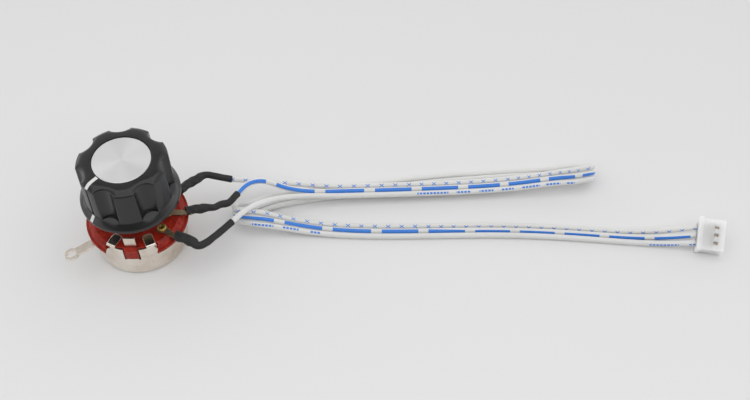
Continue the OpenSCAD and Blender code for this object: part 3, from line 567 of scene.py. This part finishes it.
# Ring and set screw
# Spring steel, blackened in oil. The ring snaps into the shaft's groove above the bushing.
# The screw grips the shaft through the knob's insert.
black_steel, place, feed = new_finish("black_steel", Metallic=1.0)
cloud = noise(place, 700, 4)
feed(
    Base_Color=between(cloud, (0.10, 0.10, 0.105, 1), (0.20, 0.20, 0.205, 1)),
    Roughness=0.3 + 0.2 * cloud,
    Normal=relief(noise(place, 2600, 3), 0.006 * MM, soft_edges(place, 0.12 * MM)),
)
dress("retaining_ring", black_steel)
dress("set_screw", black_steel)

# Rotor disc
# Punched paper laminate, 2 mm thick, that carries the wiper and the stop inside the can.
# It is peened onto the shaft's lower end.
rotor_laminate, place, feed = new_finish("rotor_laminate")
fibre = noise(place, 1200, 5, 0.7)
feed(
    Base_Color=between(fibre, (0.10, 0.045, 0.02, 1), (0.20, 0.10, 0.045, 1)),
    Roughness=0.45 + 0.2 * fibre,
    Normal=relief(fibre, 0.02 * MM, soft_edges(place, 0.15 * MM)),
)
dress("rotor_disc", rotor_laminate)

# Knob
# Black moulded phenolic, 30 mm across the skirt and 16 mm tall, with seven lobes and a hollow underside.
# Each flute is a drafted gouge with an upright floor. A small dome at its foot falls to the skirt's slope.
knob_low, knob_top = 21.8, 37.7
pointer_at = math.radians(-131)
lobes, flute_floor, flute_foot = 7, 11.3, 11.45
flute_low_r, flute_top_r = 2.8, 3.36
lobe_low_r, lobe_top_r = 13.4, 13.3
chamfer_w, chamfer_h = 1.4, 1.5
crown_floor, crown_gouge_r, crown_drop = 10.7, 9.0, 0.15
brow_up, brow_arch = 0.25, 0.55
crown_blend, brow_blend, foot_blend = 0.8, 2.0, 0.6
disc_r, disc_low, disc_gap = 8.6, 36.95, 0.15
slope_top, slope_out, slope_down = 24.65, 0.8, 0.95
skirt_r, skirt_rim_top = 14.9, 22.8
ledge_r, ledge_z = 13.3, 22.6
hollow_r, hollow_top = 9.7, 35.35
boss_r, boss_low = 6.5, 22.4
insert_r, insert_top = 4.62, 33.32
pole_r = 0.2  # where flat caps close the profile at the axis
corner_steps = 5
# Each row of a flute's dome: its share of the way out to the lobes' circle, its rise in the flute's middle,
# how far out and down it stands from the lobe's foot, and its rounding
flute_dome = [
    (0, 0.5, 0, 0, 0.3),
    (0.25, 0.75, 0.03, 0.01, 0.25),
    (0.6, 0.35, 0.06, 0.02, 0.5),
    (1, -0.2, 0.1, 0.05, 0.6),
]


def lobe_outline(outer, floor, gouge_r, blend, count=36, at_corner=0.45, fine_steps=3000):
    """Angles and radii of the grip's outline all round, from the middle of the pointer's lobe.

    The radius is a smooth least of the lobes' circle and the near side of a gouge's circle. Half a lobe and
    half a flute are spaced evenly along their length, with the corner at the same count, then mirrored and
    repeated.
    """
    fine = np.linspace(0, math.pi / lobes, fine_steps)
    off = math.pi / lobes - fine
    gouge_at = floor + gouge_r
    inside = np.maximum(gouge_r**2 - (gouge_at * np.sin(off)) ** 2, 0)
    wall = np.where(inside > 0, gouge_at * np.cos(off) - np.sqrt(inside), 2 * outer)
    share = np.clip(0.5 + 0.5 * (outer - wall) / blend, 0, 1)
    radius = wall * share + outer * (1 - share) - blend * share * (1 - share)
    step = np.hypot(np.diff(radius), radius[1:] * np.diff(fine))
    length = np.concatenate([[0.0], np.cumsum(step)])
    corner = length[np.argmin(np.abs(wall - outer))]
    run = np.interp(np.linspace(0, 1, count), [0, at_corner, 1], [0, corner, length[-1]])
    angle, radius = np.interp(run, length, fine), np.interp(run, length, radius)
    angle = np.concatenate([angle, (2 * math.pi / lobes - angle[::-1])[1:-1]])
    radius = np.concatenate([radius, radius[::-1][1:-1]])
    turns = np.arange(lobes)[:, None] * 2 * math.pi / lobes
    return (angle[None] + turns).ravel(), np.tile(radius, lobes)


def rounded_profile(corners, rounding, side_share=0.45, tiny=1e-6):
    """Profile with each corner swapped for a curve: a quadratic Bezier that leaves and joins its two sides.

    A curve reaches its rounding along each side, or the given share of the shorter one.
    """
    before, here, after = corners[:, :-2], corners[:, 1:-1], corners[:, 2:]
    back, on = before - here, after - here
    back_len, on_len = np.linalg.norm(back[..., :2], axis=-1), np.linalg.norm(on[..., :2], axis=-1)
    reach = np.minimum(rounding[None, :], side_share * np.minimum(back_len, on_len))
    first = here + back * (reach / np.maximum(back_len, tiny))[..., None]
    last = here + on * (reach / np.maximum(on_len, tiny))[..., None]
    run = np.linspace(0, 1, corner_steps)[None, None, :, None]
    curve = (
        (1 - run) ** 2 * first[:, :, None]
        + 2 * run * (1 - run) * here[:, :, None]
        + run**2 * last[:, :, None]
    )
    return np.concatenate([corners[:, :1], curve.reshape(len(corners), -1, 3), corners[:, -1:]], axis=1)


def facing(angle, out, across, up):
    """Points given by how far they lie out from the shaft, across and up, with out turned to the angle."""
    x = out * math.cos(angle) - across * math.sin(angle)
    y = out * math.sin(angle) + across * math.cos(angle)
    return np.stack(np.broadcast_arrays(x, y, up), axis=-1)


# The grip's outline at three levels: the crown over the chamfer, the brow under it, the foot at the skirt
crown, crown_r = lobe_outline(lobe_top_r - chamfer_w, crown_floor, crown_gouge_r, crown_blend)
brow, brow_r = lobe_outline(lobe_top_r, flute_floor, flute_top_r, brow_blend)
foot, foot_r = lobe_outline(lobe_low_r, flute_foot, flute_low_r, foot_blend)
# How far each column stands in a flute, from 0 on a lobe to 1 on its floor, at the brow and at the foot
brow_in = (lobe_top_r - brow_r) / (lobe_top_r - flute_floor)
foot_in = (lobe_low_r - foot_r) / (lobe_low_r - flute_foot)
profile = [
    # radius, height, angle and rounding of each corner, from the disc's seat out, down and up the hollow
    (pole_r, disc_low, crown, 0),
    (disc_r + disc_gap, disc_low, crown, 0),
    (disc_r + disc_gap, knob_top, crown, 0.15),
    (crown_r, knob_top - crown_drop, crown, 0.9),
    (brow_r, knob_top - chamfer_h + brow_up + brow_arch * brow_in, brow, 0.4),
    *[
        (foot_r + share * (lobe_low_r - foot_r) + out, slope_top - down + rise * foot_in, foot, rounding)
        for share, rise, out, down, rounding in flute_dome
    ],
    (lobe_low_r + slope_out, slope_top - slope_down, foot, 0.6),
    (skirt_r, skirt_rim_top, foot, 0.4),
    (skirt_r, knob_low, foot, 0.2),
    (ledge_r, knob_low, foot, 0.15),
    (ledge_r, ledge_z, foot, 0.3),
    (hollow_r, ledge_z, foot, 0.3),
    (hollow_r, hollow_top, foot, 0.5),
    (boss_r, hollow_top, foot, 0.5),
    (boss_r, boss_low, foot, 0.2),
    (insert_r, boss_low, foot, 0.1),
    (insert_r, insert_top, foot, 0),
    (pole_r, insert_top, foot, 0),
]
corners = np.stack([np.stack(np.broadcast_arrays(*row[:3]), axis=-1) for row in profile], axis=1)
section = rounded_profile(corners, np.array([row[3] for row in profile[1:-1]]))
out, up, angle = section[..., 0], section[..., 1], section[..., 2] + pointer_at
rings = np.stack([out * np.cos(angle), out * np.sin(angle), up], axis=-1)
knob = ring_surface("knob_moulding", rings.transpose(1, 0, 2)[::-1] * MM)
# Two cutters, thrown away once they have cut: a drill for the set screw's hole, opposite the pointer,
# and a slotter for the bare groove down the pointer's lobe
screw_at, screw_z, screw_hole_r = pointer_at + math.pi, 28.2, 2.05
hole_from, hole_to, hole_sides = 4.0, 15.5, 40
groove_w, groove_floor, groove_low, groove_top = 0.6, 13.1, 25.0, 36.1
turn = np.linspace(0, 2 * math.pi, hole_sides + 1)[:-1]
across, up = screw_hole_r * np.cos(turn), screw_z + screw_hole_r * np.sin(turn)
drill = ring_surface("drill", facing(screw_at, np.array([[hole_from], [hole_to]]), across, up) * MM)
out = np.array([groove_floor, skirt_r, skirt_r, groove_floor])
across = groove_w / 2 * np.array([-1, -1, 1, 1])
up = np.array([[groove_low], [groove_top]])
slotter = ring_surface("slotter", facing(pointer_at, out, across, up) * MM)
for cutter in (drill, slotter):
    cut = knob.modifiers.new(cutter.name, "BOOLEAN")
    cut.operation, cut.solver, cut.object = "DIFFERENCE", "EXACT", cutter
knob.data = bpy.data.meshes.new_from_object(knob.evaluated_get(bpy.context.evaluated_depsgraph_get()))
knob.data.set_sharp_from_angle(angle=sharp_turn)
knob.modifiers.clear()
for cutter in (drill, slotter):
    bpy.data.objects.remove(cutter)
knob_black, place, feed = new_finish("knob_black", IOR=1.5)
skin = noise(place, 2400, 3)
scuff = noise(place, 240, 4)
feed(
    Base_Color=between(scuff, (0.006, 0.006, 0.006, 1), (0.012, 0.012, 0.012, 1)),
    Roughness=0.14 + 0.1 * skin + 0.1 * scuff,
    Normal=relief(skin, 0.008 * MM),
)
knob.data.materials.append(knob_black)
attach(knob, "rotor")
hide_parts("knob_shell")

# Knob disc
# Spun aluminium, 17 mm across, pressed into the knob's top.
# The spinning leaves fine rings, about 0.1 mm apart, in the relief; the sheen that fans out from the middle
# is a painted highlight in the colour.
ring_wave = 60000  # radians to the metre
spun_aluminium, place, feed = new_finish("spun_aluminium", Metallic=1.0)
x, y, _ = components(place)
from_axis = (x * x + y * y) ** 0.5
bearing = x.math("ARCTAN2", y, x)
# Painted sheen: the colour is lighter and darker by the angle round the middle, standing in for the rings'
# reflection; the same fan also varies the roughness
painted_sheen_fan = 0.5 + 0.3 * x.math("SINE", bearing * 2 + 0.6) + 0.2 * x.math("SINE", bearing * 5 + 2)
fine_rings = 0.5 + 0.5 * x.math("SINE", from_axis * ring_wave)
feed(
    Base_Color=between(painted_sheen_fan, (0.80, 0.80, 0.805, 1), (0.87, 0.87, 0.87, 1)),
    Roughness=0.3 + 0.08 * painted_sheen_fan,
    Normal=relief(fine_rings, 0.002 * MM, soft_edges(place, 0.1 * MM)),
)
dress("knob_disc", spun_aluminium)

# Pointer
# White paint in a line over the knob's top and its chamfer, and in a mark of the same width on the skirt.
# Both are thin skins that stand 0.03 mm proud of the moulding, and the groove between them is bare.
paint_proud, paint_sunk = 0.03, 0.3
paint_w, paint_columns = 1.1, 5
# Which corner of the knob's profile each mark begins and ends at, and which point of that corner's curve
paint_ends = {"pointer_line": ((2, 4), (4, 2)), "skirt_mark": ((8, 3), (10, 2))}


def section_point(corner, step):
    """Index of a point in the knob's section: one for the first corner, then a curve's points for each."""
    return 1 + (corner - 1) * corner_steps + step


def paint_outline(first, last):
    """Outline of a skin over the knob's own section at the pointer, from one of its points to another.

    The section is moved out along its normals for the skin's face and in for its back.
    """
    face = section[0, first:last + 1, :2]
    along = unit_rows(np.gradient(face, axis=0))
    normal = np.stack([-along[:, 1], along[:, 0]], axis=1)
    return np.concatenate([face + paint_proud * normal, (face - paint_sunk * normal)[::-1]])


white_paint, place, feed = new_finish("white_paint", IOR=1.5)
brushed = noise(place, 1500, 3)
feed(
    Base_Color=between(brushed, (0.68, 0.68, 0.67, 1), (0.76, 0.76, 0.75, 1)),
    Roughness=0.35 + 0.15 * brushed,
    Normal=relief(brushed, 0.01 * MM),
)
across = np.linspace(-paint_w / 2, paint_w / 2, paint_columns)[:, None]
for name, (first, last) in paint_ends.items():
    # The outline in radius and height, carried across the mark's width and turned to the pointer
    outline = paint_outline(section_point(*first), section_point(*last))
    mark = ring_surface(name, facing(pointer_at, outline[None, :, 0], across, outline[None, :, 1]) * MM)
    mark.data.materials.append(white_paint)
    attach(mark, "rotor")
    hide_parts("pointer_inlay")

# Connector
# White nylon housing for three crimp contacts, lying on its lower edge at the end of the lead.
# The nylon is slightly translucent and satin.
nylon_white, place, feed = new_finish(
    "nylon_white", IOR=1.53, Subsurface_Weight=1.0, Subsurface_Radius=(1, 1, 1), Subsurface_Scale=0.009
)
haze = noise(place, 320, 3)
feed(
    Base_Color=between(haze, (0.93, 0.93, 0.92, 1), (0.96, 0.96, 0.95, 1)),
    Roughness=0.36 + 0.14 * haze,
    Normal=relief(noise(place, 1600, 3), 0.01 * MM, soft_edges(place, 0.2 * MM)),
)
dress("connector_housing", nylon_white)
contact_tin, place, feed = new_finish("contact_tin", Metallic=0.2)
cloud = noise(place, 900, 3)
feed(
    Base_Color=between(cloud, (0.84, 0.71, 0.54, 1), (0.94, 0.85, 0.70, 1)),
    Roughness=0.35 + 0.2 * cloud,
    Normal=relief(noise(place, 2600, 2), 0.006 * MM, soft_edges(place, 0.12 * MM)),
)
dress("connector_contacts", contact_tin)

# Table and light
# A pale matt table under one wide soft lamp.
# The room is bright behind the part and low at both sides, and dim overhead and on the viewer's side.
table_reach, table_level = 3, -0.02 * MM
front_light, back_light, side_light, overhead_loss = 0.2, 0.88, 1.2, 0.7
# Where each change of the room's light begins and ends, as parts of a unit direction
front_to_back, side_band, low_band, overhead_band = (-1.0, 0.4), (0.4, 0.8), (0.05, 0.35), (0.66, 0.88)
table_corners = table_reach * np.array([[-1, -1], [1, -1], [1, 1], [-1, 1]])
rings = np.full((2, 4, 3), table_level)
rings[..., :2] = np.stack([0 * table_corners, table_corners])
floor = ring_surface("table", rings, caps=False)
table, place, feed = new_finish("table", Roughness=0.75)
feed(Base_Color=between(noise(place, 3, 2), (0.77, 0.77, 0.77, 1), (0.79, 0.79, 0.79, 1)))
floor.data.materials.append(table)
world = bpy.data.worlds.new("room")
world.use_nodes = True
background = world.node_tree.nodes["Background"]
background.inputs["Color"].default_value = (1, 1, 1, 1)
way = Field(world.node_tree, None).add("ShaderNodeTexCoord", out="Generated")
aside, depth, height = components(way)


def rising(field, band):
    """Smooth step of the field, from 0 where the band begins to 1 where it ends."""
    sockets = {"Value": field, "From Min": band[0], "From Max": band[1]}
    return field.add("ShaderNodeMapRange", {"interpolation_type": "SMOOTHSTEP"}, sockets)


around = front_light + (back_light - front_light) * rising(depth, front_to_back)
beside = side_light * rising(abs(aside), side_band) * (1 - rising(height, low_band))
glow = around * (1 - overhead_loss * rising(height, overhead_band)) + beside
world.node_tree.links.new(glow.socket, background.inputs["Strength"])
bpy.context.scene.world = world
lamp = bpy.data.objects.new("softbox", bpy.data.lights.new("softbox", "AREA"))
lamp.data.shape = "RECTANGLE"
lamp.data.size, lamp.data.size_y = 1.1, 0.95
lamp.data.energy = 3.75
lamp.location = (0.05, -0.18, 0.62)
lamp.rotation_euler = (math.radians(12), 0, 0)
bpy.context.collection.objects.link(lamp)
bpy.context.scene.view_settings.view_transform = "Standard"
